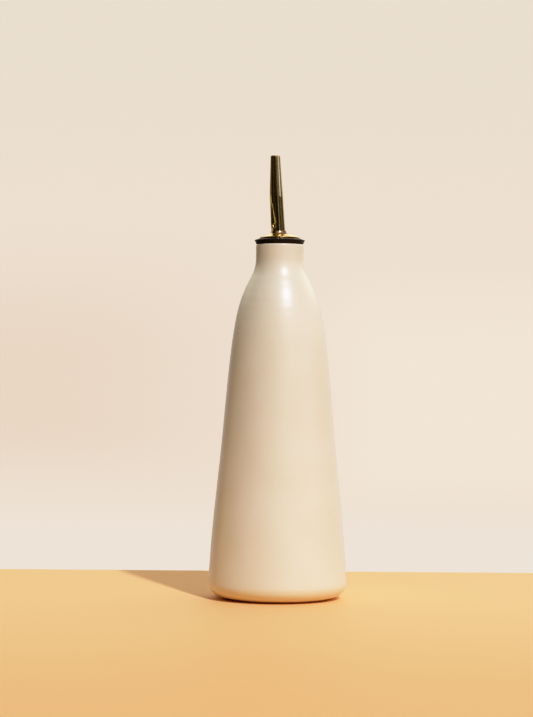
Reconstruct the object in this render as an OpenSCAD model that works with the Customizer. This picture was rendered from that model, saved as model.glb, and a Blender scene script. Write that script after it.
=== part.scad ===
// Stoneware oil cruet with a push-in metal pourer, in millimetres.
// +Z is up. The origin is the middle of the foot ring, on the table.
// Seen from the front (from -Y), the spout leans a little to the left and forwards.

/* [Bottle outside] */
// Height of the bottle, from the table to the rim of its neck
bottle_h = 210; // [200:1:225]
// Widest radius, just above the rounded lower edge
base_r = 40.9; // [38:0.1:44]
// Radius of the rounded lower edge
base_round = 8; // [5:0.5:9]
// Inward lean of the wall at its foot, in degrees
foot_lean = 2.5; // [0.5:0.5:4]
// Radius where the wall passes into the shoulder
waist_r = 32.8; // [31:0.1:35]
// Height of the place where the wall passes into the shoulder
waist_z = 102; // [90:1:110]
// Inward lean of the wall at that place, in degrees
waist_lean = 4.9; // [4:0.1:6]
// Inward lean of the shoulder where it is steepest, in degrees
shoulder_lean = 28; // [24:1:32]
// Outer radius of the neck
neck_r = 14.1; // [13:0.1:16]
// Length of the neck's straight outside
neck_l = 8.5; // [6:0.5:12]
// Radius of the hollow curve between shoulder and neck
neck_sweep = 23.6; // [18:0.2:28]
// Rounding of the rim's two edges
rim_round = 1.1; // [0.5:0.1:1.5]

/* [Bottle foot] */
// How far the unglazed foot ring stays inside the start of the rounded edge
foot_step = 1.4; // [0.4:0.2:5]
// Width of the foot ring
foot_w = 5; // [3:0.5:8]
// Height of the foot ring under the rounded edge
foot_h = 1.3; // [0.8:0.1:3]
// How much deeper the recess inside the foot ring goes
recess_h = 1.2; // [0.5:0.1:2]
// Chamfer on the foot ring's two edges
foot_chamfer = 0.5; // [0.2:0.1:0.7]

/* [Bottle inside] */
// Thickness of the wall
wall = 4.5; // [3.5:0.1:5.5]
// Thickness of the floor above the recess
floor_t = 5; // [4:0.5:8]
// Rounding between the floor and the wall, inside
floor_round = 9; // [5:0.5:12]
// Radius of the bore that takes the stopper
bore_r = 9.5; // [9:0.1:10.5]
// Length of the straight bore
bore_l = 16; // [12:0.5:20]
// Radius of the curve from the bore into the chamber
bore_sweep = 15; // [12:0.5:18]
// Inward lean of the chamber's roof where it is steepest, in degrees
roof_lean = 38; // [34:1:42]

/* [Stopper] */
// Length of the stopper below the rim
stopper_l = 25; // [22:0.5:30]
// Chamfer on the stopper's lower end
plug_chamfer = 1.1; // [0.5:0.1:1.5]
// Thickness of rubber round the stem
rubber_t = 2.6; // [2:0.1:3.2]
// Number of sealing fins
fin_count = 5; // [3:1:6]
// Thickness of a fin at its edge
fin_t = 1.0; // [0.8:0.1:1.4]
// Thickness of a fin at its root
fin_root = 2.4; // [1.8:0.1:2.8]
// How far a fin's edge is swept upwards
fin_sweep = 0.9; // [0.4:0.1:1.2]
// Clearance between the squeezed fins and the bore
fin_gap = 0.1; // [0.05:0.05:0.2]
// How far the flange overhangs the neck
flange_over = 0.9; // [0.5:0.1:2]
// How far the foot of the flange stays inside the neck's edge
flange_inset = 0.2; // [0:0.1:0.5]
// Height of the flange's widest edge above the rim
flange_edge = 2.1; // [1.5:0.1:3]
// Thickness of that edge
flange_lip = 0.4; // [0.2:0.1:0.8]
// Width of the bevel between the flange's edge and the collar
flange_bevel = 3.1; // [2:0.1:4]
// Height of that bevel
bevel_h = 1.0; // [0.6:0.1:1.6]

/* [Collar] */
// Thickness of the pressed sheet
sheet_t = 0.6; // [0.4:0.1:0.8]
// Radius of the sphere that the collar's dome is part of
dome_r = 30; // [24:1:40]
// Height of the brazed lip above the top of the dome
lip_h = 0.9; // [0.6:0.1:2]
// Thickness of that lip at its top
lip_t = 0.3; // [0.2:0.05:0.6]
// How much thicker the lip is where it runs out on the dome
lip_spread = 0.6; // [0.4:0.1:1.2]

/* [Spout] */
// Outer radius of the stem and of the spout's foot
stem_r = 4.3; // [4:0.05:4.6]
// Outer radius at the kink
kink_r = 4.05; // [3.8:0.05:4.4]
// Outer radius at the tip
tip_r = 2.9; // [2.6:0.05:3.4]
// Thickness of the tube's wall
tube_t = 0.6; // [0.4:0.05:0.7]
// How far the stem comes out below the stopper
stem_out = 2; // [1:0.5:5]
// Depth of the first bend below the rim, inside the stopper
bend_depth = 6; // [4:0.5:10]
// Height of the kink above the rim
kink_h = 28; // [24:0.5:32]
// Height of the tip above the rim
tip_h = 52.4; // [46:0.2:62]
// Lean of the lower part, in degrees
lower_lean = 5.3; // [3:0.1:9]
// Lean of the upper part, in degrees
upper_lean = 2.5; // [0.5:0.1:2.9]
// How far the tube swells at its two bends
bend_swell = 0.05; // [0.03:0.01:0.1]
// Direction of the lean, anticlockwise from +X, in degrees
lean_azimuth = 225; // [180:5:270]

/* [Vent and air tube] */
// Height of the vent above the rim
vent_h = 12.4; // [11:0.2:16]
// Radius of the round end of the pressed teardrop
scoop_r = 3.4; // [3:0.1:4]
// Length of the teardrop from the middle of its round end to its tail
scoop_l = 15; // [12:0.5:15]
// Depth of the teardrop's round end
scoop_depth = 1.4; // [1:0.1:1.8]
// Inward tilt of the teardrop's tail, in degrees
scoop_tilt = 7; // [5:0.5:8]
// Outer radius of the air tube
air_r = 1.5; // [1.3:0.05:1.6]
// Thickness of the air tube's wall
air_t = 0.4; // [0.3:0.05:0.5]
// Clearance between the air tube and the stem
air_gap = 0.1; // [0.05:0.05:0.2]
// How far the air tube hangs below the stopper
air_hang = 20; // [10:1:40]
// Angle of the air tube's turn to the vent, in degrees
air_turn = 70; // [66:1:80]

/* [Hidden] */
$fn = 96;

glaze_colour = [0.91, 0.86, 0.77];
rubber_colour = [0.06, 0.05, 0.04];
gold_colour = [0.72, 0.58, 0.32];
curve_steps = 20;
arc_steps = 10;

// Shares of a curve's height that its handles reach
wall_handle = 0.38;
shoulder_low_handle = 0.72;
shoulder_top_handle = 0.21;
roof_low_handle = 0.74;
roof_top_handle = 0.2;

foot_r = base_r - base_round - foot_step;
body_z = foot_h + base_round;
recess_z = foot_h + recess_h;
floor_z = recess_z + floor_t;
stopper_z = bottle_h - stopper_l;
fin_r = bore_r - fin_gap;
core_r = stem_r + rubber_t;
flange_r = neck_r + flange_over;
collar_r = flange_r - flange_bevel;
flange_top = bottle_h + flange_edge + flange_lip;
collar_z = flange_top + bevel_h;
dome_middle_z = collar_z - sqrt(pow(dome_r, 2) - pow(collar_r, 2));
lip_bottom = (collar_z + dome_middle_z + dome_r) / 2;
lip_top = dome_middle_z + dome_r + sheet_t + lip_h;
rim_corner = 0.3;

kink = lower_lean - upper_lean;
bend_z = bottle_h - bend_depth;
lower_l = (kink_h + bend_depth) / cos(lower_lean);
upper_l = (tip_h - kink_h) / cos(upper_lean);
stem_l = stopper_l - bend_depth + stem_out;
air_offset = stem_r - tube_t - air_r - air_gap;
air_bottom = stopper_l - bend_depth + air_hang;
// Distance of the vent from the first bend, measured along the lower part
vent_along = (vent_h + bend_depth) / cos(lower_lean);
vent_r = stem_r + (kink_r - stem_r) * vent_along / lower_l;
scoop_middle = vent_r + scoop_r - scoop_depth;
// Length of the air tube's last stretch, from its turn to the middle of the teardrop
mouth_l = (scoop_middle - air_offset) / sin(air_turn);
past_end = 3;

// Points of an arc from angle a to angle b, both ends included
function arc(middle, r, a, b) =
    [for (i = [0:arc_steps]) let (t = a + (b - a) * i / arc_steps) middle + r * [cos(t), sin(t)]];

// Direction of a wall that leans inwards by an angle, upwards
function lean_of(angle) = [-sin(angle), cos(angle)];

// Inner points of the cubic curve that leaves p along lean a and reaches q along lean b
function curve(p, a, q, b, low, top) =
    let (
        span = q[1] - p[1],
        c = p + low * span * lean_of(a),
        d = q - top * span * lean_of(b)
    )
    [for (i = [1:curve_steps - 1])
        let (t = i / curve_steps, u = 1 - t)
        pow(u, 3) * p + 3 * u * u * t * c + 3 * u * t * t * d + pow(t, 3) * q];

// Wall and shoulder between a corner below and a hollow sweep into the neck above
function side(corner, corner_r, waist, sweep_middle, sweep_r, lean, low, top) =
    let (
        rise = arc(corner, corner_r, -90, foot_lean),
        sweep = arc(sweep_middle, sweep_r, 180 + lean, 180),
        start = rise[arc_steps]
    )
    concat(
        rise,
        curve(start, foot_lean, waist, waist_lean, wall_handle, wall_handle),
        [waist],
        curve(waist, waist_lean, sweep[0], lean, low, top),
        sweep
    );

function foot_points() = [
    [0, recess_z],
    [foot_r - foot_w - recess_h, recess_z],
    [foot_r - foot_w, foot_chamfer],
    [foot_r - foot_w + foot_chamfer, 0],
    [foot_r - foot_chamfer, 0],
    [foot_r, foot_chamfer],
    [foot_r, foot_h]
];

function outside_points() = side(
    [base_r - base_round, body_z], base_round,
    [waist_r, waist_z],
    [neck_r + neck_sweep, bottle_h - neck_l], neck_sweep,
    shoulder_lean, shoulder_low_handle, shoulder_top_handle
);

function inside_points() = side(
    [base_r - wall - floor_round, floor_z + floor_round], floor_round,
    [waist_r - wall, waist_z],
    [bore_r + bore_sweep, bottle_h - bore_l], bore_sweep,
    roof_lean, roof_low_handle, roof_top_handle
);

function rim_points() = concat(
    arc([neck_r - rim_round, bottle_h - rim_round], rim_round, 0, 90),
    arc([bore_r + rim_round, bottle_h - rim_round], rim_round, 90, 180)
);

function backwards(list) = [for (i = [len(list) - 1:-1:0]) list[i]];

// One thrown and fired solid: foot ring, conical wall, shoulder, neck, and the chamber inside
module bottle() {
    color(glaze_colour)
    rotate_extrude()
    polygon(concat(
        foot_points(),
        outside_points(),
        rim_points(),
        backwards(inside_points()),
        [[0, floor_z]]
    ));
}

// Places its children at the first bend, with +X in the direction of the lean
module at_bend() {
    translate([0, 0, bend_z])
    rotate([0, 0, lean_azimuth])
    children();
}

// Places its children on the lower part, a distance along it from the first bend
module on_lower(along) {
    at_bend()
    rotate([0, lower_lean, 0])
    translate([0, 0, along])
    children();
}

// Places its children on the upper part, a distance along it from the kink
module on_upper(along) {
    on_lower(lower_l)
    rotate([0, -kink, 0])
    translate([0, 0, along])
    children();
}

// The bent and tapered tube as a solid, narrower by inset and longer at both ends by extra
module spout_form(inset, extra) {
    at_bend()
    translate([0, 0, -stem_l - extra])
    cylinder(r = stem_r - inset, h = stem_l + extra);
    at_bend()
    sphere(r = stem_r - inset + bend_swell);
    on_lower(0)
    cylinder(r1 = stem_r - inset, r2 = kink_r - inset, h = lower_l);
    on_lower(lower_l)
    sphere(r = kink_r - inset + bend_swell);
    on_upper(0)
    cylinder(r1 = kink_r - inset, r2 = tip_r - inset, h = upper_l);
    if (extra > 0)
    on_upper(upper_l - extra)
    cylinder(r = tip_r - inset, h = extra * 2);
}

// The teardrop that presses the vent into the spout, larger by grow on every side
module scoop(grow) {
    tail = asin(scoop_r / scoop_l);
    on_lower(vent_along)
    translate([scoop_middle, 0, 0])
    rotate([0, -scoop_tilt, 0])
    rotate_extrude()
    polygon(concat(
        arc([0, 0], scoop_r + grow, -90, tail),
        [[0, scoop_l + grow / sin(tail)]]
    ));
}

// The air tube as a solid of radius r: up the stem, through the bend, and out to the vent
module air_form(r, extra) {
    meet = air_offset * tan(lower_lean / 2);
    turn_along = vent_along - mouth_l * cos(air_turn);
    at_bend()
    translate([air_offset, 0, -air_bottom - extra])
    cylinder(r = r, h = air_bottom + extra - meet);
    at_bend()
    translate([air_offset, 0, -meet])
    sphere(r = r + bend_swell);
    on_lower(meet)
    translate([air_offset, 0, 0])
    cylinder(r = r, h = turn_along - meet);
    on_lower(turn_along)
    translate([air_offset, 0, 0])
    sphere(r = r + bend_swell);
    on_lower(turn_along)
    translate([air_offset, 0, 0])
    rotate([0, air_turn, 0])
    cylinder(r = r, h = mouth_l);
}

// The shallow cap that the collar's dome covers, raised by lift
module under_dome(lift) {
    intersection() {
        translate([0, 0, dome_middle_z + lift])
        sphere(r = dome_r);
        translate([0, 0, collar_z + lift])
        cylinder(r = collar_r, h = dome_r);
    }
}

function fin_points(z) = [
    [core_r, z],
    [fin_r, z + fin_sweep + (fin_root - fin_t) / 2],
    [fin_r, z + fin_sweep + (fin_root + fin_t) / 2],
    [core_r, z + fin_root]
];

function all_fin_points() =
    let (pitch = (stopper_l - plug_chamfer) / fin_count)
    [for (i = [0:fin_count - 1]) each fin_points(stopper_z + plug_chamfer + i * pitch)];

// Moulded rubber: finned plug, and the flange that seats on the rim
module stopper() {
    color(rubber_colour)
    difference() {
        union() {
            rotate_extrude()
            polygon(concat(
                [[0, stopper_z], [core_r - plug_chamfer, stopper_z], [core_r, stopper_z + plug_chamfer]],
                all_fin_points(),
                [
                    [core_r, bottle_h],
                    [neck_r - flange_inset, bottle_h],
                    [flange_r - rim_corner, bottle_h + flange_edge - rim_corner],
                    [flange_r, bottle_h + flange_edge],
                    [flange_r, flange_top - rim_corner],
                    [flange_r - rim_corner, flange_top],
                    [collar_r, collar_z],
                    [0, collar_z]
                ]
            ));
            under_dome(0);
        }
        spout_form(0, 0);
    }
}

// Pressed sheet dome on the flange, with the brazed lip that holds the spout
module collar() {
    color(gold_colour)
    difference() {
        union() {
            under_dome(sheet_t);
            translate([0, 0, collar_z])
            cylinder(r = collar_r, h = sheet_t);
            on_lower(lip_bottom - bend_z)
            cylinder(r1 = stem_r + lip_t + lip_spread, r2 = stem_r + lip_t, h = lip_top - lip_bottom);
        }
        under_dome(0);
        spout_form(0, 0);
    }
}

// Drawn tube: stem, lower part, kink and tapered tip, with the pressed vent
module spout() {
    color(gold_colour)
    difference() {
        union() {
            difference() {
                spout_form(0, 0);
                spout_form(tube_t, past_end);
            }
            intersection() {
                spout_form(0, 0);
                scoop(tube_t);
            }
        }
        scoop(0);
        air_form(air_r, 0);
    }
}

// Thin tube that lets air back into the chamber while oil runs out
module air_tube() {
    color(gold_colour)
    difference() {
        air_form(air_r, 0);
        air_form(air_r - air_t, past_end);
        scoop(0);
    }
}

bottle();
stopper();
collar();
spout();
air_tube();
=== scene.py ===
# %% [markdown]
# # Dressing a stoneware oil cruet
# The object is a thrown stoneware bottle with a cream glaze, and a gold pourer pushed into its neck.
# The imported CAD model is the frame: it says where each solid is, in metres, and which body carries it.
# Blender adds the finish. Each solid is replaced by a fine surface of the same form, because a model
# cut into flat triangles shows its facets in a glossy glaze and in polished metal.

# %% Load the frame
import math

import bpy
import numpy as np
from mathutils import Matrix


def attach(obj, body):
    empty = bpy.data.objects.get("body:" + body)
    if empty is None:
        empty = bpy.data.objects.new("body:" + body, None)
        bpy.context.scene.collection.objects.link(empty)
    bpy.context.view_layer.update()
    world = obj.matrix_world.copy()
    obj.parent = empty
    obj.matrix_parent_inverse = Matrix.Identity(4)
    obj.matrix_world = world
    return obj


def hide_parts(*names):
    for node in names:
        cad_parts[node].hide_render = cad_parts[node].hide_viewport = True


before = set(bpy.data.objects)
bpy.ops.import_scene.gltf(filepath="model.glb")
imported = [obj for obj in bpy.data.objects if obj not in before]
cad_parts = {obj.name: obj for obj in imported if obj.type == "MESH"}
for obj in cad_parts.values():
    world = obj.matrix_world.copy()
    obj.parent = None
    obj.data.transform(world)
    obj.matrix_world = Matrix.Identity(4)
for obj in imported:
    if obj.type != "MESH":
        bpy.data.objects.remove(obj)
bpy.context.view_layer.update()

MM = 0.001

# %% [markdown]
# ## The camera
# The photograph was taken with a long lens, from a little over half the height of the whole object:
# the horizon crosses the body, so the foot is seen a little from above and the spout's tip from below.
# A focal length in pixels becomes a lens in millimetres through the sensor's long side. The picture
# is upright, so the long side is its height. A small roll matches the slight lean of the picture. A
# camera can be placed by eye, but the flat ovals of the foot and the rim fix its height and distance.

# %% Place the camera
PHOTO_HEIGHT = 717
FOCAL_PIXELS = 2110.6
SENSOR = 36.0
CAMERA_PLACE = (-0.00735, -1.2537, 0.1414)
CAMERA_TILT = 0.00056
CAMERA_ROLL = -0.0075

camera_data = bpy.data.cameras.new("camera")
camera_data.sensor_width = SENSOR
camera_data.lens = SENSOR * FOCAL_PIXELS / PHOTO_HEIGHT
camera = bpy.data.objects.new("camera", camera_data)
camera.location = CAMERA_PLACE
camera.rotation_euler = (math.pi / 2 + CAMERA_TILT, CAMERA_ROLL, 0)
bpy.context.scene.collection.objects.link(camera)
bpy.context.scene.camera = camera
print("lens in mm:", round(camera_data.lens, 2))

# %% [markdown]
# ## Shader maths as plain expressions
# A pattern on a surface is arithmetic on coordinates. Wiring Math nodes by hand hides that, so one
# small class wraps a socket and lets Python's own operators add the nodes. Numbers alone stay in
# Python, and colours go through Mix nodes, because a Math node would turn them grey.


# %% A socket that can be calculated with
class Socket:
    """One output of a node. An operator on it adds the Math node that works out the result."""

    def __init__(self, tree, source):
        self.tree = tree
        self.source = source

    def node(self, kind, settings, inputs, output=0):
        """Adds a node: its settings first, then its inputs, each a number, a colour or a Socket."""
        made = self.tree.nodes.new(kind)
        for name, setting in settings.items():
            setattr(made, name, setting)
        for place, given in inputs.items():
            if isinstance(given, Socket):
                self.tree.links.new(given.source, made.inputs[place])
            else:
                made.inputs[place].default_value = given
        return Socket(self.tree, made.outputs[output])

    def math(self, operation, first, second=0.0):
        """One Math node on two values."""
        return self.node("ShaderNodeMath", {"operation": operation}, {0: first, 1: second})

    def __add__(self, other):
        return self.math("ADD", self, other)

    def __radd__(self, other):
        return self.math("ADD", other, self)

    def __sub__(self, other):
        return self.math("SUBTRACT", self, other)

    def __rsub__(self, other):
        return self.math("SUBTRACT", other, self)

    def __mul__(self, other):
        return self.math("MULTIPLY", self, other)

    def __rmul__(self, other):
        return self.math("MULTIPLY", other, self)

    def axis(self, name):
        """One coordinate of a vector."""
        return self.node("ShaderNodeSeparateXYZ", {}, {0: self}, "XYZ".index(name))

    def rise(self, low, high):
        """0 below low, 1 above high, and a smooth S between them."""
        settings = {"interpolation_type": "SMOOTHSTEP"}
        return self.node("ShaderNodeMapRange", settings, {0: self, 1: low, 2: high})

    def band(self, start, full, fade, end):
        """0 up to start, 1 from full to fade, and 0 again from end."""
        return self.rise(start, full) * (1 - self.rise(fade, end))

    def stretched(self, scale):
        """The same coordinates, multiplied by one number for each axis."""
        return self.node("ShaderNodeVectorMath", {"operation": "MULTIPLY"}, {0: self, 1: scale})

    def noise(self, size, detail=2.0):
        """Soft random blotches about as wide as size, in metres, from 0 to 1."""
        inputs = {"Vector": self, "Scale": 1 / size, "Detail": detail}
        return self.node("ShaderNodeTexNoise", {}, inputs)

    def specks(self, size):
        """Distance to the nearest of many scattered points, in cells of the given size."""
        return self.node("ShaderNodeTexVoronoi", {}, {"Vector": self, "Scale": 1 / size})

    def mix(self, low, high):
        """The colour low where this socket is 0, and the colour high where it is 1."""
        settings = {"data_type": "RGBA"}
        return self.node("ShaderNodeMix", settings, {0: self, 6: low, 7: high}, 2)

    def added(self, base, glow):
        """The colour base, with as much of the colour glow added as this socket says."""
        settings = {"data_type": "RGBA", "blend_type": "ADD"}
        return self.node("ShaderNodeMix", settings, {0: self, 6: base, 7: glow}, 2)

    def bump(self, height):
        """A normal that makes this socket's values look like a relief of the given height."""
        return self.node("ShaderNodeBump", {}, {"Height": self, "Distance": height, "Strength": 1.0})


# %% A finish and its sockets
def start_finish(name, constants):
    """A Principled material with its constant sockets set, its shader, and the object's coordinates."""
    material = bpy.data.materials.new(name)
    material.use_nodes = True
    tree = material.node_tree
    shader = tree.nodes["Principled BSDF"]
    for socket, constant in constants.items():
        shader.inputs[socket].default_value = constant
    coordinates = tree.nodes.new("ShaderNodeTexCoord")
    return material, shader, Socket(tree, coordinates.outputs["Object"])


def vary(shader, varied):
    """Links what changes over the surface to the shader's sockets."""
    for name, value in varied.items():
        value.tree.links.new(value.source, shader.inputs[name])


def colour(red, green, blue):
    """A linear colour from the 0 to 255 values that a screen shows."""
    screen = np.array([red, green, blue]) / 255
    linear = np.where(screen > 0.04045, ((screen + 0.055) / 1.055) ** 2.4, screen / 12.92)
    return (*linear, 1.0)


print("a screen grey of 128 is", round(colour(128, 128, 128)[0], 3), "in linear light")

# %% [markdown]
# ## Surfaces from whole arrays
# Every piece here is a grid of points: its rows follow a profile, and its columns go once round.
# A bottle's profile starts and ends on the axis, so its first and last rows shrink to a point.
# A ring-shaped piece has a closed profile, so its last row joins its first. With the profile going
# up the outside and down the inside, every face points outwards.


# %% From a grid to a mesh
def add_piece(name, grid, finish, body, node, poles=False):
    """Makes a closed smooth mesh from grid[row, column] in millimetres, and gives it body and finish.
    A face joins row r, column c to row r+1, column c+1. With poles, the first and the last row are
    one point each, so their faces are triangles. Otherwise the last row joins the first."""
    rows, columns = grid.shape[:2]
    points = grid.reshape(-1, 3) * MM
    index = np.arange(rows * columns).reshape(rows, columns)
    if poles:
        points = points[columns - 1 : (rows - 1) * columns + 1]
        index = np.clip(index - (columns - 1), 0, len(points) - 1)
        low, high = index[:-1], index[1:]
    else:
        low, high = index, np.roll(index, -1, axis=0)
    quads = np.stack([low, np.roll(low, -1, 1), np.roll(high, -1, 1), high], axis=-1)
    faces = quads.reshape(-1, 4).tolist()
    if poles:
        bottom_fan = quads[0][:, [0, 2, 3]].tolist()
        top_fan = quads[-1][:, [0, 1, 2]].tolist()
        faces = bottom_fan + quads[1:-1].reshape(-1, 4).tolist() + top_fan
    mesh = bpy.data.meshes.new(name)
    mesh.from_pydata(points, [], faces)
    mesh.polygons.foreach_set("use_smooth", np.ones(len(faces), dtype=bool))
    mesh.materials.append(finish)
    mesh.validate()
    piece = bpy.data.objects.new(name, mesh)
    bpy.context.scene.collection.objects.link(piece)
    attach(piece, body)
    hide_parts(node)
    mesh.calc_loop_triangles()
    print(name, "has", len(points), "points and", len(mesh.loop_triangles), "triangles")


# %% [markdown]
# A profile is a row of points. Where a piece is round it follows an arc, and a corner between two flat
# faces is softened a little, because an edge with no roundness at all never catches the light. Long
# edges get points in between, so that the faces of the grid stay small.

# %% Points along a profile
LONGEST_CUT = 0.45


def arc(middle, radius, start, end, steps=12):
    """Part of a circle: middle + radius times (cos a, sin a), with a going evenly from start to end."""
    angles = np.radians(np.linspace(start, end, steps + 1))
    return np.asarray(middle) + radius * np.stack([np.cos(angles), np.sin(angles)], axis=1)


def softened(corners, radius, closed=True, steps=5):
    """Rounds each corner c between points a and b a short way along its two edges, on the curve
    (1-t)^2 a + 2 t (1-t) c + t^2 b. No cut takes more than LONGEST_CUT of an edge."""
    corners = np.asarray(corners, dtype=float)
    before = np.roll(corners, 1, axis=0) - corners
    after = np.roll(corners, -1, axis=0) - corners
    before_length = np.linalg.norm(before, axis=1, keepdims=True)
    after_length = np.linalg.norm(after, axis=1, keepdims=True)
    a = corners + before * np.minimum(radius / before_length, LONGEST_CUT)
    b = corners + after * np.minimum(radius / after_length, LONGEST_CUT)
    t = np.linspace(0, 1, steps + 1)[None, :, None]
    rounded = (1 - t) ** 2 * a[:, None] + 2 * t * (1 - t) * corners[:, None] + t**2 * b[:, None]
    if closed:
        return rounded.reshape(-1, 2)
    return np.concatenate([corners[:1], rounded[1:-1].reshape(-1, 2), corners[-1:]])


def spaced(profile, step):
    """Adds points so that no edge of the profile is longer than step."""
    lengths = np.linalg.norm(np.diff(profile, axis=0), axis=1)
    counts = np.maximum(np.ceil(lengths / step), 1).astype(int)
    edge = np.repeat(np.arange(len(counts)), counts)
    share = np.arange(counts.sum()) - np.repeat(np.cumsum(counts) - counts, counts)
    share = (share / counts[edge])[:, None]
    inner = profile[edge] * (1 - share) + profile[edge + 1] * share
    return np.concatenate([inner, profile[-1:]])


def turned(profile, columns):
    """Turns a profile of (radius, height) rows round the axis: (r cos a, r sin a, z)."""
    angles = np.linspace(0, 2 * math.pi, columns, endpoint=False)
    radius = profile[:, :1]
    height = np.broadcast_to(profile[:, 1:], (len(profile), columns))
    return np.stack([radius * np.cos(angles), radius * np.sin(angles), height], axis=-1)


print("a quarter of a circle gets", len(arc([0, 0], 1, 0, 90)), "points")

# %% [markdown]
# ## The bottle
# It is one fired piece: a foot ring, a conical wall, a shoulder and a neck, with the chamber inside.
# A subdivided cage would only come near the measured outline, so the outline is worked out from the
# same few sizes as the solid: arcs at the edges, and cubic curves that leave and arrive at a stated
# lean. The potter's fingers leave a faint spiral, so the radius also swells and shrinks by a few
# hundredths of a millimetre as it climbs.

# %% Sizes of the bottle, in millimetres
BOTTLE_H = 210.0
BASE_R = 40.9
BASE_ROUND = 8.0
FOOT_LEAN = 2.5
WAIST = np.array([32.8, 102.0])
WAIST_LEAN = 4.9
SHOULDER_LEAN = 28.0
NECK_R = 14.1
NECK_L = 8.5
NECK_SWEEP = 23.6
RIM_ROUND = 1.1
FOOT_R = 31.5
FOOT_W = 5.0
FOOT_H = 1.3
RECESS_H = 1.2
FOOT_CHAMFER = 0.5
WALL = 4.5
FLOOR_Z = 7.5
FLOOR_ROUND = 9.0
BORE_R = 9.5
BORE_L = 16.0
BORE_SWEEP = 15.0
ROOF_LEAN = 38.0
print("the bottle is", 2 * BASE_R, "mm across at its widest and", BOTTLE_H, "mm high")

# %% [markdown]
# The outside and the chamber are made up alike, so one function draws both: a rounded lower corner, a
# wall that leans in, a shoulder, and a hollow sweep into the neck. Cubic curves join the arcs. Their
# handles lie along the leans at their two ends, so the curves meet the arcs without a crease. A
# handle's length is a share of the height that its curve climbs.

# %% Curves of the bottle's side
WALL_HANDLE = 0.38
SHOULDER_HANDLES = (0.72, 0.21)
ROOF_HANDLES = (0.74, 0.2)


def leaning(angle):
    """The direction up a wall that leans inwards by an angle."""
    return np.array([-math.sin(math.radians(angle)), math.cos(math.radians(angle))])


def wall_curve(start, start_lean, end, end_lean, low, top, steps=48):
    """A cubic curve with its handles c and d along the two leans:
    (1-t)^3 p + 3(1-t)^2 t c + 3(1-t) t^2 d + t^3 q, without its ends."""
    climb = end[1] - start[1]
    low_handle = start + low * climb * leaning(start_lean)
    top_handle = end - top * climb * leaning(end_lean)
    t = np.linspace(0, 1, steps + 1)[1:-1, None]
    return (
        (1 - t) ** 3 * start
        + 3 * (1 - t) ** 2 * t * low_handle
        + 3 * (1 - t) * t**2 * top_handle
        + t**3 * end
    )


def side(corner, corner_round, waist, sweep_middle, sweep_round, lean, handles):
    """Rounded corner, wall, shoulder and the hollow sweep into the neck, from the bottom up."""
    rounded = arc(corner, corner_round, -90, FOOT_LEAN)
    sweep = arc(sweep_middle, sweep_round, 180 + lean, 180)
    wall = wall_curve(rounded[-1], FOOT_LEAN, waist, WAIST_LEAN, WALL_HANDLE, WALL_HANDLE)
    shoulder = wall_curve(waist, WAIST_LEAN, sweep[0], lean, *handles)
    return np.concatenate([rounded, wall, [waist], shoulder, sweep])


print("at the waist the wall runs in the direction", leaning(WAIST_LEAN).round(3))

# %% Draw the bottle's profile
FOOT_SOFT = 0.25
LONGEST_EDGE = 3.0
foot = softened(
    [
        [0, FOOT_H + RECESS_H],
        [FOOT_R - FOOT_W - RECESS_H, FOOT_H + RECESS_H],
        [FOOT_R - FOOT_W, FOOT_CHAMFER],
        [FOOT_R - FOOT_W + FOOT_CHAMFER, 0],
        [FOOT_R - FOOT_CHAMFER, 0],
        [FOOT_R, FOOT_CHAMFER],
        [FOOT_R, FOOT_H],
    ],
    FOOT_SOFT,
    closed=False,
)
outside = side(
    [BASE_R - BASE_ROUND, FOOT_H + BASE_ROUND],
    BASE_ROUND,
    WAIST,
    [NECK_R + NECK_SWEEP, BOTTLE_H - NECK_L],
    NECK_SWEEP,
    SHOULDER_LEAN,
    SHOULDER_HANDLES,
)
rim = np.concatenate(
    [
        arc([NECK_R - RIM_ROUND, BOTTLE_H - RIM_ROUND], RIM_ROUND, 0, 90),
        arc([BORE_R + RIM_ROUND, BOTTLE_H - RIM_ROUND], RIM_ROUND, 90, 180),
    ]
)
inside = side(
    [BASE_R - WALL - FLOOR_ROUND, FLOOR_Z + FLOOR_ROUND],
    FLOOR_ROUND,
    WAIST - [WALL, 0],
    [BORE_R + BORE_SWEEP, BOTTLE_H - BORE_L],
    BORE_SWEEP,
    ROOF_LEAN,
    ROOF_HANDLES,
)
profile = spaced(np.concatenate([foot, outside, rim, inside[::-1], [[0, FLOOR_Z]]]), LONGEST_EDGE)
print("the bottle's profile has", len(profile), "points")

# %% Turn the bottle and raise its throwing rings
COLUMNS = 256
RING_DEPTH = 0.022
RING_PITCH = 5.3
RING_MARGIN = 12.0
RING_FADE = 10.0
LONG_SWELL = 3.1
LONG_SWELL_SHARE = 0.6
bottle_grid = turned(profile, COLUMNS)
height = bottle_grid[..., 2]
angle = np.arctan2(bottle_grid[..., 1], bottle_grid[..., 0])
reach = np.hypot(bottle_grid[..., 0], bottle_grid[..., 1])
above_foot = np.clip((height - RING_MARGIN) / RING_FADE, 0, 1)
below_rim = np.clip((BOTTLE_H - RING_MARGIN - height) / RING_FADE, 0, 1)
wall_share = above_foot * below_rim
rings = np.sin(2 * math.pi * height / RING_PITCH + angle)
rings = rings + LONG_SWELL_SHARE * np.sin(height / LONG_SWELL - angle)
swell = 1 + wall_share * RING_DEPTH * rings / np.maximum(reach, 1)
bottle_grid[..., :2] *= swell[..., None]
ring_travel = float(np.ptp(wall_share * rings)) * RING_DEPTH
print("the throwing rings move the wall by", round(ring_travel, 3), "mm")
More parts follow.
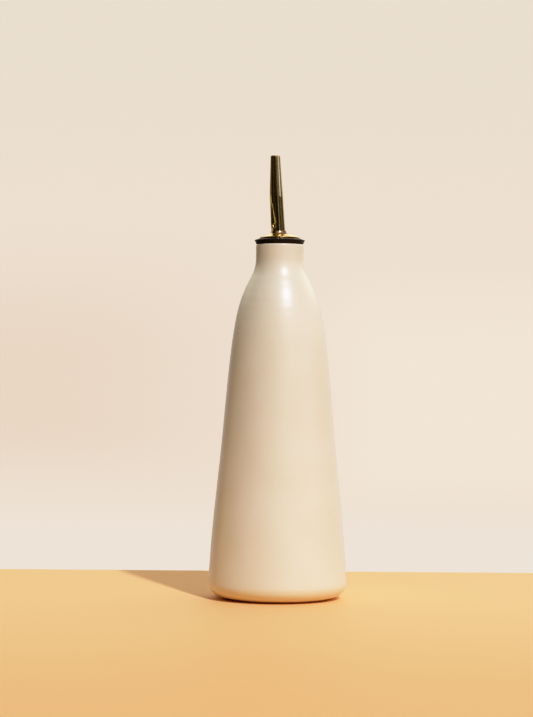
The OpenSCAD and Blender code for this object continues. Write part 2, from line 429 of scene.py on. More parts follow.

# %% [markdown]
# ## The glaze
# A satin cream glaze is a thin glassy coat over buff clay. It pools a little in places and thins in
# others, so its colour drifts softly, and iron in the clay bleeds through as tiny specks. A diffuse
# base under a smooth coat gives the soft white highlight, and noise at several sizes gives the drift,
# the specks and the slight waviness of the coat. Scattering under the surface would soften the shading
# too, but this glaze is opaque, and the coat is enough. Round the lower edge the colour is painted
# warmer and a little darker. This is painted shade, with the table's warm bounce light in it. The foot
# ring is wiped clean and left bare.

# %% Colours and grain of the glaze
CREAM = colour(228, 221, 206)
CREAM_THICK = colour(230, 223, 208)
CREAM_THIN = colour(226, 217, 199)
CLAY = colour(176, 140, 104)
SPECK = colour(160, 132, 98)
PAINTED_WARM_SHADE = colour(225, 209, 173)
PAINTED_SHADE_FROM = 3 * MM
PAINTED_SHADE_UP_TO = 12 * MM
BARE_UP_TO = 1.1 * MM
DRIFT_SIZE = 28 * MM
FINE_SIZE = 6 * MM
FINE_SHARE = 0.5
SOFT_BLOTCH = (0.3, 0.75)
SPECK_CELL = 2.2 * MM
SPECK_EDGE = (0.05, 0.13)
SPECK_GROUP = 3.5 * MM
SPECK_CHOICE = (0.6, 0.68)
SPECK_SHARE = 0.4
WAVE_SIZE = 4 * MM
WAVE_HEIGHT = 0.04 * MM
print("the glaze has specks in cells of", SPECK_CELL / MM, "mm")

# %% Make the glaze
GLAZE_ROUGHNESS = 0.45
BARE_ROUGHER = 0.35
glaze, shader, point = start_finish(
    "cream_glaze",
    {"Coat Roughness": 0.34, "Coat IOR": 1.6, "Specular IOR Level": 0.25},
)
drift = point.noise(DRIFT_SIZE, 3.0)
base = drift.rise(*SOFT_BLOTCH).mix(CREAM_THIN, CREAM_THICK)
fine = point.stretched((1.0, 1.0, 2.5)).noise(FINE_SIZE, 3.0)
base = (fine.rise(*SOFT_BLOTCH) * FINE_SHARE).mix(base, CREAM)
dots = 1 - point.specks(SPECK_CELL).rise(*SPECK_EDGE)
chosen = point.noise(SPECK_GROUP).rise(*SPECK_CHOICE)
base = (dots * chosen * SPECK_SHARE).mix(base, SPECK)
# Painted shade: between 3 and 12 mm up, the glaze is made warmer and darker in place of the table's warm
# bounce light.
edge = 1 - point.axis("Z").rise(PAINTED_SHADE_FROM, PAINTED_SHADE_UP_TO)
base = edge.mix(base, PAINTED_WARM_SHADE)
foot_mask = 1 - point.axis("Z").rise(BARE_UP_TO / 2, BARE_UP_TO)
base = foot_mask.mix(base, CLAY)
relief = point.stretched((1.0, 1.0, 2.0)).noise(WAVE_SIZE, 2.0) + drift * 2.0
vary(
    shader,
    {
        "Base Color": base,
        "Roughness": GLAZE_ROUGHNESS + drift * 0.1 + foot_mask * BARE_ROUGHER,
        "Coat Weight": 1 - foot_mask,
        "Normal": relief.bump(WAVE_HEIGHT),
    },
)
add_piece("bottle_glazed", bottle_grid, glaze, "bottle", "bottle", poles=True)

# %% [markdown]
# ## The pourer's lean
# The stem stands upright in the stopper. Just under the rim the tube bends forwards and to the left,
# and higher up it bends back a little. Both bends lie in one upright plane, so a path in that plane
# needs only two coordinates: how far out it is, and how high. A tube is a circle carried along such
# a path, square to it.

# %% Sizes of the pourer, in millimetres
STEM_BOTTOM = 183.0
BEND_Z = 204.0
KINK_Z = 238.0
TIP_Z = 262.4
LOWER_LEAN = 5.3
UPPER_LEAN = 2.5
LEAN_AZIMUTH = 225.0
STEM_R = 4.3
KINK_R = 4.05
TIP_R = 2.9
TUBE_T = 0.6
BEND_LENGTH = 3.0
PATH_STEPS = 4000
out_way = np.array([math.cos(math.radians(LEAN_AZIMUTH)), math.sin(math.radians(LEAN_AZIMUTH))])
bend_at = BEND_Z - STEM_BOTTOM
kink_at = bend_at + (KINK_Z - BEND_Z) / math.cos(math.radians(LOWER_LEAN))
tip_at = kink_at + (TIP_Z - KINK_Z) / math.cos(math.radians(UPPER_LEAN))
print("the spout is", round(tip_at, 1), "mm long along its bends")


def smooth_step(value, low, high):
    """0 below low, 1 above high, and 3t^2 - 2t^3 between them."""
    t = np.clip((value - low) / (high - low), 0, 1)
    return t * t * (3 - 2 * t)


def spout_path(along):
    """Out and up coordinates of the spout's middle line: sums of the sine and cosine of its lean."""
    fine_along = np.linspace(0, tip_at, PATH_STEPS)
    bent = smooth_step(fine_along, bend_at - BEND_LENGTH, bend_at + BEND_LENGTH)
    kinked = smooth_step(fine_along, kink_at - BEND_LENGTH, kink_at + BEND_LENGTH)
    lean = np.radians(LOWER_LEAN * bent - (LOWER_LEAN - UPPER_LEAN) * kinked)
    step = fine_along[1]
    out = np.concatenate([[0], np.cumsum(np.sin(lean[:-1]) * step)])
    up = STEM_BOTTOM + np.concatenate([[0], np.cumsum(np.cos(lean[:-1]) * step)])
    middle = np.stack([np.interp(along, fine_along, out), np.interp(along, fine_along, up)], axis=1)
    lean = np.interp(along, fine_along, lean)
    return middle, np.stack([np.sin(lean), np.cos(lean)], axis=1)


def carried(middle, heading, reach, angles):
    """Circles carried along a path: middle + reach times (cos a outwards + sin a sideways)."""
    outward = heading[:, ::-1] * [1, -1]
    across = reach * np.cos(angles)
    flat = middle[:, None] + across[..., None] * outward[:, None]
    sideways = (reach * np.sin(angles))[..., None] * np.array([-out_way[1], out_way[0]])
    level = flat[..., :1] * out_way + sideways
    return np.concatenate([level, flat[..., 1:]], axis=-1)


print("its tip is", round(float(spout_path(tip_at * np.ones(1))[0][0, 0]), 1), "mm off the bottle's axis")

# %% [markdown]
# ## The pressed vent
# Below the kink a punch has pressed a teardrop into the tube: a ball's print at the bottom, drawn
# out upwards to a point. A ray from the tube's middle line leaves the metal where it first meets the
# punch, so the pressed wall is where the distance to the teardrop is zero. Halving the interval
# twenty times finds that place for the whole grid at once, and a soft minimum rounds the crease. A
# Boolean modifier could cut a teardrop too, but it leaves long thin triangles at the cut, and polished
# metal shows them.

# %% Distance to the punch
VENT_HEIGHT = 12.4
PUNCH_R = 3.4
PUNCH_L = 15.0
PUNCH_DEPTH = 1.4
PUNCH_TILT = 7.0
CREASE = 0.15
HALVINGS = 20
SEARCH_PAST = 1.5
vent_along = (BOTTLE_H + VENT_HEIGHT - BEND_Z) / math.cos(math.radians(LOWER_LEAN))
vent_radius = STEM_R + (KINK_R - STEM_R) * vent_along / (kink_at - bend_at)
punch_out = vent_radius + PUNCH_R - PUNCH_DEPTH


def punch_distance(out, sideways, up, grow):
    """How far a point is from the teardrop: from its ball below, or from the cone that touches it."""
    tilt = math.radians(PUNCH_TILT)
    taper = math.asin(PUNCH_R / PUNCH_L)
    out = out - punch_out
    axial = up * math.cos(tilt) - out * math.sin(tilt)
    radial = np.hypot(out * math.cos(tilt) + up * math.sin(tilt), sideways)
    cone = radial * math.cos(taper) + axial * math.sin(taper) - PUNCH_R
    ball = np.hypot(axial, radial) - PUNCH_R
    on_cone = axial * math.cos(taper) > radial * math.sin(taper)
    return np.where(on_cone, cone, ball) - grow


def pressed(radius, up, angles, grow):
    """The tube's radius once the punch has pushed its wall in by halving the interval to the punch."""
    low = np.zeros(np.broadcast(radius, up, angles).shape)
    high = low + radius + SEARCH_PAST
    for _ in range(HALVINGS):
        half = (low + high) / 2
        clear = punch_distance(half * np.cos(angles), half * np.sin(angles), up, grow) > 0
        low = np.where(clear, half, low)
        high = np.where(clear, high, half)
    share = np.clip(0.5 + 0.5 * (low - radius) / CREASE, 0, 1)
    return low + (radius - low) * share - CREASE * share * (1 - share)


print("at the vent the tube's radius is", round(vent_radius, 2), "mm")

# %% [markdown]
# ## The spout
# The spout is a drawn tube. A curve with a round bevel makes a tube at once, but it can't be pressed in
# on one side, so the tube's rows are worked out and the punch moves their points. The grid is fine
# along the vent and coarse elsewhere. Its rows climb the outside, turn over the cut tip and go down the
# inside, so the tube has a real wall and a real bore.

# %% Rows and columns of the tube
SPOUT_COLUMNS = 160
FINE_BELOW = 6.0
FINE_LENGTH = 8.0
FINE_STEP = 0.1
CUT_DROP = np.array([0.15, 0.05, 0.0])
CUT_IN = np.array([0.0, 0.05, 0.16])
STEM_ROWS = 32
KINK_ROWS = 52
TIP_ROWS = 24
KINK_GAP = 0.6
TIP_GAP = 0.2
angles = np.linspace(0, 2 * math.pi, SPOUT_COLUMNS, endpoint=False)[None, :]
fine_from = bend_at + vent_along - FINE_BELOW
kink_end = kink_at + BEND_LENGTH
climb = np.concatenate(
    [
        np.linspace(CUT_DROP[0], fine_from, STEM_ROWS),
        np.arange(fine_from + 2 * FINE_STEP, fine_from + FINE_LENGTH, FINE_STEP),
        np.linspace(fine_from + FINE_LENGTH, kink_end, KINK_ROWS),
        np.linspace(kink_end + KINK_GAP, tip_at - TIP_GAP, TIP_ROWS),
    ]
)
print("the tube's wall has", len(climb), "rows, and one in", FINE_STEP, "mm along the vent")


def tube_radius(along):
    """Upright stem, then a slight taper up to the kink and a stronger one to the tip."""
    return np.interp(along, [bend_at, kink_at, tip_at], [STEM_R, KINK_R, TIP_R])


def spout_surface(along, inset):
    """The tube's radius at each row and column, less an inset, with the punch's print."""
    radius = tube_radius(along)[:, None] - inset
    up = along[:, None] - bend_at - vent_along
    return pressed(radius, up, angles, inset)


# %% [markdown]
# The air tube opens in the vent, in a small round well: every point of the wall that is nearer to the
# mouth's own axis than the well's radius is moved in by the well's depth. At the cut tip and at the
# stem's cut end, a few rows turn the sheet's edge over, CUT_DROP back from the cut and CUT_IN inwards.

# %% Carry the tube along its path
AIR_TURN = 70.0
MOUTH_HOLE = 1.3
WELL_EDGE = 0.08
WELL_DEPTH = 1.3
mouth_way = np.array([math.sin(math.radians(AIR_TURN)), math.cos(math.radians(AIR_TURN))])
outer = spout_surface(climb, 0)
up = climb[:, None] - bend_at - vent_along
from_ball = np.stack(np.broadcast_arrays(outer * np.cos(angles) - punch_out, up), axis=-1)
beside = np.abs(from_ball[..., 0] * mouth_way[1] - from_ball[..., 1] * mouth_way[0])
from_mouth = np.hypot(beside, outer * np.sin(angles))
facing = np.cos(angles) > 0
in_well = 1 - smooth_step(from_mouth, MOUTH_HOLE - WELL_EDGE, MOUTH_HOLE + WELL_EDGE)
outer = outer - WELL_DEPTH * facing * in_well
inner = spout_surface(climb[::-1], TUBE_T)
cut_drop = np.concatenate([CUT_DROP, CUT_DROP[::-1]])
cut_in = np.concatenate([CUT_IN, TUBE_T - CUT_IN[::-1]])
tip_along = tip_at - cut_drop
tip_reach = TIP_R - cut_in
foot_along = cut_drop[1:-1]
foot_reach = STEM_R - cut_in[-2:0:-1]
rows_along = np.concatenate([climb, tip_along, climb[::-1], foot_along])
row_reach = np.concatenate(
    [
        outer,
        np.broadcast_to(tip_reach[:, None], (len(tip_reach), angles.size)),
        inner,
        np.broadcast_to(foot_reach[:, None], (len(foot_reach), angles.size)),
    ]
)
middle, heading = spout_path(rows_along)
spout_grid = carried(middle, heading, row_reach, angles)
print("the punch's print is", round(float(vent_radius - outer[:, 0].min()) - WELL_DEPTH, 2), "mm deep")

# %% [markdown]
# ## Polished gold
# The pourer is plated and polished. Such a metal has almost no colour of its own: it shows the room,
# tinted. The finish therefore needs little more than a gold tint, a low roughness that drifts where
# fingers and cloths have been, and the faint lengthwise lines that drawing leaves on a tube. Painted
# lines would need a UV map and would show its seam. Noise on the object's own coordinates, stretched
# along the height, needs no map and has no seam.

# %% Make the gold
GOLD = colour(224, 207, 158)
GOLD_DULL = colour(205, 184, 130)
WORN = (0.4, 0.75)
WEAR_SIZE = 6 * MM
LINE_SIZE = 0.4 * MM
POLISH_HEIGHT = 0.006 * MM
POLISHED_ROUGHNESS = 0.07

gold, shader, point = start_finish("polished_gold", {"Metallic": 1.0})
wear = point.noise(WEAR_SIZE, 4.0)
draw_lines = point.stretched((1.0, 1.0, 0.03)).noise(LINE_SIZE, 2.0)
vary(
    shader,
    {
        "Base Color": wear.rise(*WORN).mix(GOLD, GOLD_DULL),
        "Roughness": POLISHED_ROUGHNESS + wear * 0.08 + draw_lines * 0.05,
        "Normal": (draw_lines + wear * 2.0).bump(POLISH_HEIGHT),
    },
)
add_piece("spout_gold", spout_grid, gold, "pourer", "spout")

# %% [markdown]
# ## The air tube
# A thin tube lets air into the bottle while oil runs out. It climbs beside the stem's wall and turns
# out to the vent, where its end is trimmed to the ball's print. A bevelled curve would do here, but the
# spout's own functions are there already and give it a wall and a bore: a circle on a path. The
# tube is plain drawn brass, neither plated nor polished, and light that finds its way into the mouth
# is tinted at each bounce: that is the amber glow in the vent.

# %% Make the raw brass
BRASS = colour(255, 219, 132)
BRASS_DULL = colour(248, 202, 108)
STAIN_SIZE = 2 * MM
STAIN_HEIGHT = 0.01 * MM
BRASS_ROUGHNESS = 0.3

raw_brass, shader, point = start_finish("raw_brass", {"Metallic": 1.0})
stain = point.noise(STAIN_SIZE, 3.0)
vary(
    shader,
    {
        "Base Color": stain.mix(BRASS, BRASS_DULL),
        "Roughness": BRASS_ROUGHNESS + stain * 0.12,
        "Normal": stain.bump(STAIN_HEIGHT),
    },
)
print("of red, green and blue, two bounces on the brass keep", np.square(BRASS[:3]).round(2))

# %% Carry the air tube
AIR_R = 1.5
AIR_T = 0.4
AIR_GAP = 0.1
AIR_OFFSET = STEM_R - TUBE_T - AIR_R - AIR_GAP
AIR_BOTTOM = 165.0
AIR_BEND = 1.7
AIR_STEP = 1.5
AIR_COLUMNS = 48
mouth_length = (punch_out - AIR_OFFSET) / math.sin(math.radians(AIR_TURN))
lower_way = np.array([math.sin(math.radians(LOWER_LEAN)), math.cos(math.radians(LOWER_LEAN))])
lower_out = np.array([lower_way[1], -lower_way[0]])
turn_at = vent_along - mouth_length * math.cos(math.radians(AIR_TURN))
bend_drop = AIR_OFFSET * math.tan(math.radians(LOWER_LEAN / 2))


def in_lower(out, up):
    """A place on the leaning lower part, from its distance out and along, as out and height."""
    return np.array([0, BEND_Z]) + out * lower_out + up * lower_way


mouth_end = in_lower(
    AIR_OFFSET + (mouth_length - PUNCH_R) * mouth_way[0],
    turn_at + (mouth_length - PUNCH_R) * mouth_way[1],
)
air_corners = [
    [AIR_OFFSET, AIR_BOTTOM],
    [AIR_OFFSET, BEND_Z - bend_drop],
    in_lower(AIR_OFFSET, turn_at),
    mouth_end,
]
air_path = spaced(softened(air_corners, AIR_BEND, closed=False, steps=12), AIR_STEP)
air_heading = np.gradient(air_path, axis=0)
air_heading /= np.linalg.norm(air_heading, axis=1, keepdims=True)
air_angles = np.linspace(0, 2 * math.pi, AIR_COLUMNS, endpoint=False)[None, :]
air_rows = np.concatenate([np.arange(len(air_path)), np.arange(len(air_path))[::-1]])
air_reach = np.concatenate([np.full(len(air_path), AIR_R), np.full(len(air_path), AIR_R - AIR_T)])
air_grid = carried(air_path[air_rows], air_heading[air_rows], air_reach[:, None], air_angles)
add_piece("air_tube_brass", air_grid, raw_brass, "pourer", "air_tube")

# %% [markdown]
# ## The stopper
# The stopper is moulded rubber: a flange that seats on the rim and hides it, and a plug with thin
# fins that squeeze into the bore. Each fin is swept upwards, so that it goes in easily and holds.
# Discs could be stacked and joined, but the seams between them would show. One closed profile, turned
# round the axis, has none. The hole for the spout leans with the spout, so the rows that make the hole
# move out with height. The flange's top is a shallow dome, and the collar lies on the same dome.

# %% The dome that the stopper and the collar share
COLLAR_R = 11.9
COLLAR_Z = 213.5
DOME_R = 30.0
dome_middle = COLLAR_Z - math.sqrt(DOME_R**2 - COLLAR_R**2)


def dome_height(radius, lift=0.0):
    """Height of the shallow dome at a distance from the axis: the sphere's middle + sqrt(R^2 - r^2)."""
    return dome_middle + lift + np.sqrt(DOME_R**2 - np.asarray(radius) ** 2)


print("the dome rises", round(float(dome_height(0)) - COLLAR_Z, 2), "mm above its edge")

# %% Sizes of the stopper, in millimetres
STOPPER_Z = 185.0
CORE_R = 6.9
FIN_R = 9.4
FIN_COUNT = 5
FIN_ROOT = 2.4
FIN_EDGE = 1.0
FIN_SWEEP = 0.9
PLUG_CHAMFER = 1.1
FLANGE_R = 15.0
FLANGE_EDGE_Z = 212.1
FLANGE_TOP = 212.5
FLANGE_BEVEL = 0.3
SEAT_INSET = 0.2
print("the plug is", BOTTLE_H - STOPPER_Z, "mm long")

# %% Turn the stopper
HOLE_FADE = 1.5
RUBBER_SOFT = 0.22
RUBBER_STEP = 1.2
DOME_MARGINS = (0.4, 0.5)
DOME_ROWS = 8
POURER_COLUMNS = 128
fin_pitch = (BOTTLE_H - STOPPER_Z - PLUG_CHAMFER) / FIN_COUNT
fin_z = STOPPER_Z + PLUG_CHAMFER + fin_pitch * np.arange(FIN_COUNT)[:, None]
fin_middle = FIN_SWEEP + FIN_ROOT / 2
fin_rise = np.array([0, fin_middle - FIN_EDGE / 2, fin_middle + FIN_EDGE / 2, FIN_ROOT])
fin_reach = np.broadcast_to([CORE_R, FIN_R, FIN_R, CORE_R], (FIN_COUNT, len(fin_rise)))
fins = np.stack([fin_reach, fin_z + fin_rise], axis=-1).reshape(-1, 2)
dome_reach = np.linspace(COLLAR_R - DOME_MARGINS[0], STEM_R + DOME_MARGINS[1], DOME_ROWS)
stopper_profile = np.concatenate(
    [
        [[STEM_R, STOPPER_Z], [CORE_R - PLUG_CHAMFER, STOPPER_Z], [CORE_R, STOPPER_Z + PLUG_CHAMFER]],
        fins[1:],
        [
            [CORE_R, BOTTLE_H],
            [NECK_R - SEAT_INSET, BOTTLE_H],
            [FLANGE_R - FLANGE_BEVEL, FLANGE_EDGE_Z - FLANGE_BEVEL],
            [FLANGE_R, FLANGE_EDGE_Z],
            [FLANGE_R, FLANGE_TOP - FLANGE_BEVEL],
            [FLANGE_R - FLANGE_BEVEL, FLANGE_TOP],
            [COLLAR_R, COLLAR_Z],
        ],
        np.stack([dome_reach, dome_height(dome_reach)], axis=1),
        [[STEM_R, dome_height(STEM_R)], [STEM_R, BEND_Z]],
    ]
)
stopper_profile = spaced(softened(stopper_profile, RUBBER_SOFT, steps=4), RUBBER_STEP)
stopper_grid = turned(stopper_profile, POURER_COLUMNS)
spout_lean = np.tan(math.radians(LOWER_LEAN)) * np.maximum(stopper_grid[..., 2] - BEND_Z, 0)
hole_share = 1 - smooth_step(stopper_profile[:, 0], STEM_R, STEM_R + HOLE_FADE)[:, None]
stopper_grid[..., :2] += (spout_lean * hole_share)[..., None] * out_way
print("the stopper has", FIN_COUNT, "fins,", round(fin_pitch, 2), "mm apart")

# %% [markdown]
# ## Moulded rubber
# Rubber is nearly black and never quite matt: a soft sheen shows its round edges. Its surface has
# the fine grain of the mould, and dust and handling leave it unevenly dull. Plain black would look like
# a hole in the picture, so coarse noise spreads the dust and fine noise raises the grain.

# %% Make the rubber
RUBBER = colour(15, 10, 7)
RUBBER_DUSTY = colour(36, 28, 22)
DUSTY = (0.45, 0.8)
DUST_SIZE = 5 * MM
GRAIN_SIZE = 0.4 * MM
GRAIN_HEIGHT = 0.02 * MM
RUBBER_ROUGHNESS = 0.42

rubber, shader, point = start_finish("moulded_rubber", {"Specular IOR Level": 0.4})
dust = point.noise(DUST_SIZE, 4.0)
grain = point.noise(GRAIN_SIZE, 2.0)
vary(
    shader,
    {
        "Base Color": dust.rise(*DUSTY).mix(RUBBER, RUBBER_DUSTY),
        "Roughness": RUBBER_ROUGHNESS + dust * 0.25,
        "Normal": grain.bump(GRAIN_HEIGHT),
    },
)
add_piece("stopper_rubber", stopper_grid, rubber, "pourer", "stopper")

# %% [markdown]
# ## The collar
# A thin dome pressed from sheet covers the flange, and a small fillet of braze holds the spout in
# it. The spout stands off the middle here, because it leans, so the hole and the fillet move with
# it while the dome's edge stays round the axis. Each row slides from one middle to the other. Solidify
# could thicken a single dome, but not make the fillet, so one profile holds both faces and the fillet.
# The pressing is only brushed, so its gold is softer than the spout's. The braze is dull and grey, and
# its dark colour is also painted shade that keeps the sun from glinting there. It lies on the right of
# the lip and climbs towards that side, and the left stays bare gold.

# %% Make the satin gold, its braze and its painted shade
SATIN = colour(216, 184, 136)
SATIN_DULL = colour(204, 169, 119)
BRAZE_AND_PAINTED_SHADE = colour(132, 111, 87)
BRAZE_FOOT = 215.5 * MM
BRAZE_TOP = 216.7 * MM
BRAZE_EDGE = 0.4 * MM
BRAZE_SLOPE = 0.42
HANDLED_SIZE = 4 * MM
BRUSHED_HEIGHT = 0.01 * MM
BRUSHED_ROUGHNESS = 0.2
BRAZE_ROUGHER = 0.38
LIP_SMOOTHER = 0.12

satin_gold, shader, point = start_finish("satin_gold", {"Metallic": 1.0})
wear = point.noise(HANDLED_SIZE, 4.0)
# Braze with painted shade: a dark, rough patch on the sunlit right of the lip, its top edge climbing to
# the right.
bare_lip = (point.axis("Z") - BRAZE_SLOPE * point.axis("X")).rise(BRAZE_TOP, BRAZE_TOP + BRAZE_EDGE)
braze = point.axis("Z").rise(BRAZE_FOOT, BRAZE_FOOT + BRAZE_EDGE) * (1 - bare_lip)
vary(
    shader,
    {
        "Base Color": braze.mix(wear.rise(*WORN).mix(SATIN, SATIN_DULL), BRAZE_AND_PAINTED_SHADE),
        "Roughness": BRUSHED_ROUGHNESS + wear * 0.1 + braze * BRAZE_ROUGHER - bare_lip * LIP_SMOOTHER,
        "Normal": wear.bump(BRUSHED_HEIGHT),
    },
)
print("the braze ends", round(BRAZE_TOP / MM, 1), "mm up in the middle, and higher on the right")

# %% Turn the collar
SHEET_T = 0.6
LIP_TOP = 217.8
LIP_FOOT_R = 5.6
LIP_TOP_R = 4.55
LIP_CROWN = (0.08, 0.06)
LIP_HANDLE = (0.1, 0.25)
HOLE_GRIP = 0.1
EDGE_CUT = 0.05
EDGE_ROUND = 0.08
EDGE_BULGE = 0.02
EDGE_FLAT = 0.3
UNDER_GAP = 0.1
TOP_ROWS = 14
LIP_ROWS = 10
lip_corner_z = dome_height(LIP_FOOT_R, SHEET_T)
top_reach = np.linspace(COLLAR_R - EDGE_FLAT, LIP_FOOT_R, TOP_ROWS)
top_reach = np.concatenate([[COLLAR_R - EDGE_ROUND], top_reach])
top_rows = np.stack([top_reach, dome_height(top_reach, SHEET_T)], axis=1)
edge_low = COLLAR_Z
edge_high = COLLAR_Z + SHEET_T
edge_rows = [
    [COLLAR_R - EDGE_CUT, edge_low],
    [COLLAR_R, edge_low + EDGE_CUT],
    [COLLAR_R, edge_high - EDGE_ROUND],
    [COLLAR_R - EDGE_BULGE, edge_high - EDGE_BULGE],
]
lip_t = np.linspace(0, 1, LIP_ROWS)[1:, None]
lip_rows = (
    (1 - lip_t) ** 2 * [LIP_FOOT_R, lip_corner_z]
    + 2 * lip_t * (1 - lip_t) * [LIP_TOP_R + LIP_HANDLE[0], lip_corner_z + LIP_HANDLE[1]]
    + lip_t**2 * [LIP_TOP_R, LIP_TOP]
)
hole_rows = [
    [LIP_TOP_R - LIP_CROWN[0], LIP_TOP + LIP_CROWN[1]],
    [STEM_R - HOLE_GRIP, LIP_TOP],
    [STEM_R - HOLE_GRIP, dome_height(STEM_R)],
]
under_reach = np.linspace(STEM_R + UNDER_GAP, COLLAR_R - EDGE_FLAT, DOME_ROWS)
under_rows = np.stack([under_reach, dome_height(under_reach)], axis=1)
collar_profile = np.concatenate([edge_rows, top_rows, lip_rows, hole_rows, under_rows])
collar_grid = turned(collar_profile, POURER_COLUMNS)
lip_share = (1 - smooth_step(collar_profile[:, 0], LIP_FOOT_R, COLLAR_R))[:, None]
lip_shift = np.tan(math.radians(LOWER_LEAN)) * (collar_grid[..., 2] - BEND_Z) * lip_share
flat_reach = np.hypot(collar_grid[..., 0], collar_grid[..., 1])
collar_grid[..., :2] += lip_shift[..., None] * out_way
new_reach = np.hypot(collar_grid[..., 0], collar_grid[..., 1])
collar_grid[..., 2] += dome_height(new_reach) - dome_height(flat_reach)
add_piece("collar_gold", collar_grid, satin_gold, "pourer", "collar")

# %% [markdown]
# ## The stage
# The bottle stands in sun on a warm, plain table, with a pale wall far behind. Only the table is
# built, as a slab with a far edge. The wall is the world's colour, because a real wall would be in
# the way of views from other sides. The table's colour is warmer and deeper towards the camera.

# %% Build the table
TABLE_NEAR = -0.62
TABLE_FAR = 0.159
TABLE_LEFT = -0.2
TABLE_RIGHT = 0.5
TABLE_T = 0.03
WARM_END = -0.38
PALE_START = 0.0
TABLE_WARM = (0.87, 0.46, 0.197, 1.0)
TABLE_PALE = (0.965, 0.548, 0.26, 1.0)
WAVER = 0.1
WAVER_SIZE = 0.2
table_y, table_z, table_x = np.meshgrid((TABLE_NEAR, TABLE_FAR), (-TABLE_T, 0), (TABLE_LEFT, TABLE_RIGHT))
table_corners = np.stack([table_x, table_y, table_z], axis=-1).reshape(-1, 3)
table_faces = [[0, 2, 3, 1], [4, 5, 7, 6], [0, 1, 5, 4], [2, 6, 7, 3], [0, 4, 6, 2], [1, 3, 7, 5]]
table_mesh = bpy.data.meshes.new("table")
table_mesh.from_pydata(table_corners, [], table_faces)
table_finish, shader, point = start_finish("table_paint", {"Roughness": 0.6, "Specular IOR Level": 0.2})
fading = (point.axis("Y") + WAVER * point.noise(WAVER_SIZE, 3.0)).rise(WARM_END, PALE_START)
vary(shader, {"Base Color": fading.mix(TABLE_WARM, TABLE_PALE)})
table_mesh.materials.append(table_finish)
table = bpy.data.objects.new("table", table_mesh)
bpy.context.scene.collection.objects.link(table)
print("the table's far edge is", TABLE_FAR, "m behind the bottle's axis")

# %% [markdown]
# ## The film
# A camera doesn't record light in straight proportion. Its curve bends over towards white, so that a
# highlight fades softly instead of being cut off, and it presses the darkest parts down. Both are
# plain in the photograph: the sunlit glaze is flat and pale, and the shadows are deep and warm. The
# same curve is given to the renderer's view as a row of points. A view has one curve for red, one for
# green, one for blue and a fourth for all three together, and the fourth is the one that is bent. The
# renderer's ready-made film looks bend the light too, but they grey these warm colours.

# %% Bend the film curve
KNEE = 0.4
TOE = 0.04
DIMMEST = 0.001
BRIGHTEST = 3.0
LOOKUP_STEPS = 3000
ALL_COLOURS = 3


def film(light):
    """What comes out: light itself up to the knee, then knee + (1-knee) tanh((light-knee)/(1-knee)),
    all of it times light / (light + toe)."""
    bent = np.where(light < KNEE, light, KNEE + (1 - KNEE) * np.tanh((light - KNEE) / (1 - KNEE)))
    return bent * light / (light + TOE)


def light_for(wanted):
    """The light that the film shows as a wanted linear colour."""
    lights = np.linspace(DIMMEST, BRIGHTEST, LOOKUP_STEPS)
    return (*np.interp(wanted[:3], film(lights), lights), 1.0)


view = bpy.context.scene.view_settings
view.view_transform = "Standard"
view.use_curve_mapping = True
view.curve_mapping.white_level = (BRIGHTEST, BRIGHTEST, BRIGHTEST)
film_curve = view.curve_mapping.curves[ALL_COLOURS]
film_lights = np.array([0.0, 0.02, 0.05, 0.1, 0.2, 0.35, 0.5, 0.7, 0.9, 1.2, 1.6, 2.2, BRIGHTEST])
film_curve.points[-1].location = (1, film(BRIGHTEST))
for light in film_lights[1:-1]:
    film_curve.points.new(light / BRIGHTEST, film(light))
view.curve_mapping.update()
print("light of 0.05, 0.5 and 2 comes out as", film(np.array([0.05, 0.5, 2.0])).round(3))

# %% [markdown]
# ## The light
# One sun from the front right models the form and makes the highlight. The room does the rest, and
# the world's colour is a sum of soft patches, each a function of direction. The glaze takes its soft
# light from well above the horizon: most of it from the bright side behind, less from the right and
# little from the camera's side. Polished metal stands upright here, so it mirrors only what is level
# with it: a dark room with dim clutter in it, a window and its blind on the right, a lamp at the left
# behind, and the wall at its very edges. Keeping the level patches and the raised ones apart lets the
# metal and the glaze be lit one at a time. The camera itself sees only the wall, with its light and
# shade painted into its colour: cooler above and below, warmer and darker on the left, paler on the
# right. Area lights could stand for the windows, but the metal would mirror their hard edges.

# %% Sun
SUN_WAY = np.array([0.33, -0.68, 0.69])
SUN_ENERGY = 2.7
SUN_COLOUR = (1.0, 0.973, 0.942)
SUN_WIDTH = math.radians(3.0)
sun_data = bpy.data.lights.new("sun", "SUN")
sun_data.energy = SUN_ENERGY
sun_data.angle = SUN_WIDTH
sun_data.color = SUN_COLOUR
sun = bpy.data.objects.new("sun", sun_data)
sun_from_top = math.acos(SUN_WAY[2] / np.linalg.norm(SUN_WAY))
sun.rotation_euler = (sun_from_top, 0, math.atan2(SUN_WAY[0], -SUN_WAY[1]))
bpy.context.scene.collection.objects.link(sun)
print("the sun stands", round(90 - math.degrees(sun_from_top), 1), "degrees above the horizon")

# %% The room's directions
ROOM_DARK = (0.023, 0.018, 0.010, 1.0)
world = bpy.data.worlds.new("room")
world.use_nodes = True
bpy.context.scene.world = world
tree = world.node_tree
direction = Socket(tree, tree.nodes.new("ShaderNodeTexCoord").outputs["Generated"])
to_right = direction.axis("X")
to_back = direction.axis("Y")
to_up = direction.axis("Z")
LEVEL_END = 0.1
RAISED_FULL = 0.45
RAISED_END = 0.9
fade = np.degrees(np.arcsin([LEVEL_END, RAISED_FULL])).round()
print("the level patches fade out from", fade[0], "to", fade[1], "degrees above the horizon")

# %% The wall that the camera sees
wall = light_for(colour(237, 223, 208))
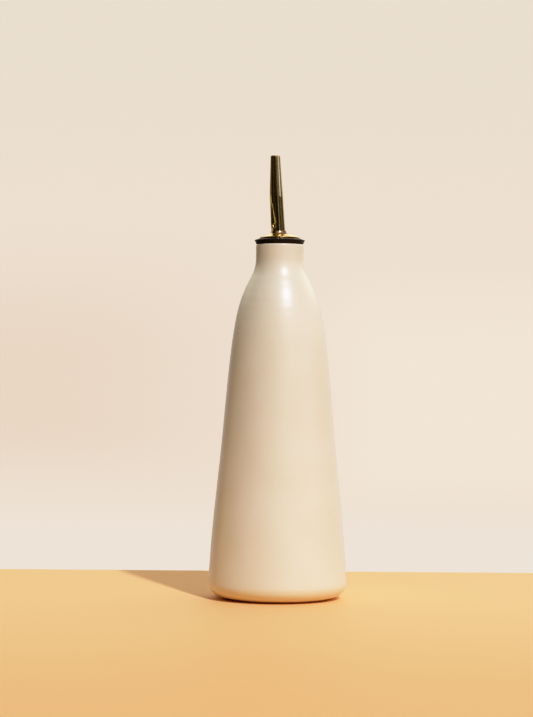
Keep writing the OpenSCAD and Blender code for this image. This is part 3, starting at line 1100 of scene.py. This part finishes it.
# Painted light and shade on the wall: darker and warmer on the left, paler on the right, cooler above and
# below.
upper_wall = to_up.rise(0.05, 0.14)
warm_left = to_up.band(-0.07, -0.03, 0.0, 0.07) * (1 - to_right.rise(-0.1, 0.03))
pale_right = to_up.band(-0.08, -0.05, 0.0, 0.06) * to_right.rise(0.0, 0.06)
lowest_wall = 1 - to_up.rise(-0.09, -0.055)
wall_light_and_shade = [
    (upper_wall, colour(233, 222, 207)),
    (warm_left, colour(233, 215, 196)),
    (pale_right, colour(241, 229, 213)),
    (lowest_wall, colour(237, 227, 215)),
]
for share, tint in wall_light_and_shade:
    wall = share.mix(wall, light_for(tint))
print("the wall's colour drifts in", len(wall_light_and_shade), "places")

# %% Patches level with the metal
level = 1 - to_up.rise(LEVEL_END, RAISED_FULL)
on_right = to_right.rise(0.2, 0.5)
on_left = (0 - to_right).rise(0.3, 0.5)
clutter = direction.stretched((1.0, 1.0, 0.25)).noise(0.35, 0.0).rise(0.48, 0.56)
lamp = on_left * to_back.band(0.12, 0.22, 0.5, 0.6) * to_up.band(-0.3, -0.15, 0.04, 0.09)
wall_behind = to_back.rise(0.6, 0.85)
pane = on_right * to_back.band(-0.58, -0.44, -0.2, -0.04) * to_up.rise(0.09, 0.13)
blind = (to_right - 1.2 * to_up).band(0.35, 0.43, 0.43, 0.51) * (1 - to_back.rise(-0.3, 0.1))
wall_on_right = on_right * to_back.rise(0.25, 0.4)
level_patches = [
    (level * clutter, (0.090, 0.080, 0.066, 1.0)),
    (level * lamp, (0.772, 0.620, 0.360, 1.0)),
    (level * wall_behind, (0.604, 0.559, 0.535, 1.0)),
    (level * pane, (0.84, 0.98, 1.42, 1.0)),
    (level * blind, (0.32, 0.35, 0.48, 1.0)),
    (level * wall_on_right, (0.307, 0.304, 0.249, 1.0)),
]
print(len(level_patches), "patches are level with the metal")

# %% Patches above, for the glaze
raised = to_up.band(LEVEL_END, RAISED_FULL, RAISED_FULL, RAISED_END)
back_right = (to_right + to_back).rise(0.64, 1.2)
front_right = (to_right - to_back).rise(0.64, 1.2)
raised_patches = [
    (raised * to_back.rise(0.1, 0.6), (1.72, 1.52, 1.12, 1.0)),
    (raised * back_right, (1.42, 1.14, 0.87, 1.0)),
    (raised * front_right, (1.27, 0.98, 0.96, 1.0)),
    (raised * (0 - to_back).rise(0.45, 0.85), (0.49, 0.42, 0.33, 1.0)),
    (to_up.rise(0.7, 0.95), (0.19, 0.27, 0.27, 1.0)),
]
print(len(raised_patches), "patches are above it")

# %% Add the patches up
room = ROOM_DARK
for patch, glow in level_patches + raised_patches:
    room = patch.added(room, glow)
seen = Socket(tree, tree.nodes.new("ShaderNodeLightPath").outputs["Is Camera Ray"])
room = seen.mix(room, wall)
tree.links.new(room.source, tree.nodes["Background"].inputs["Color"])
print("the world's colour takes", len(tree.nodes), "nodes")
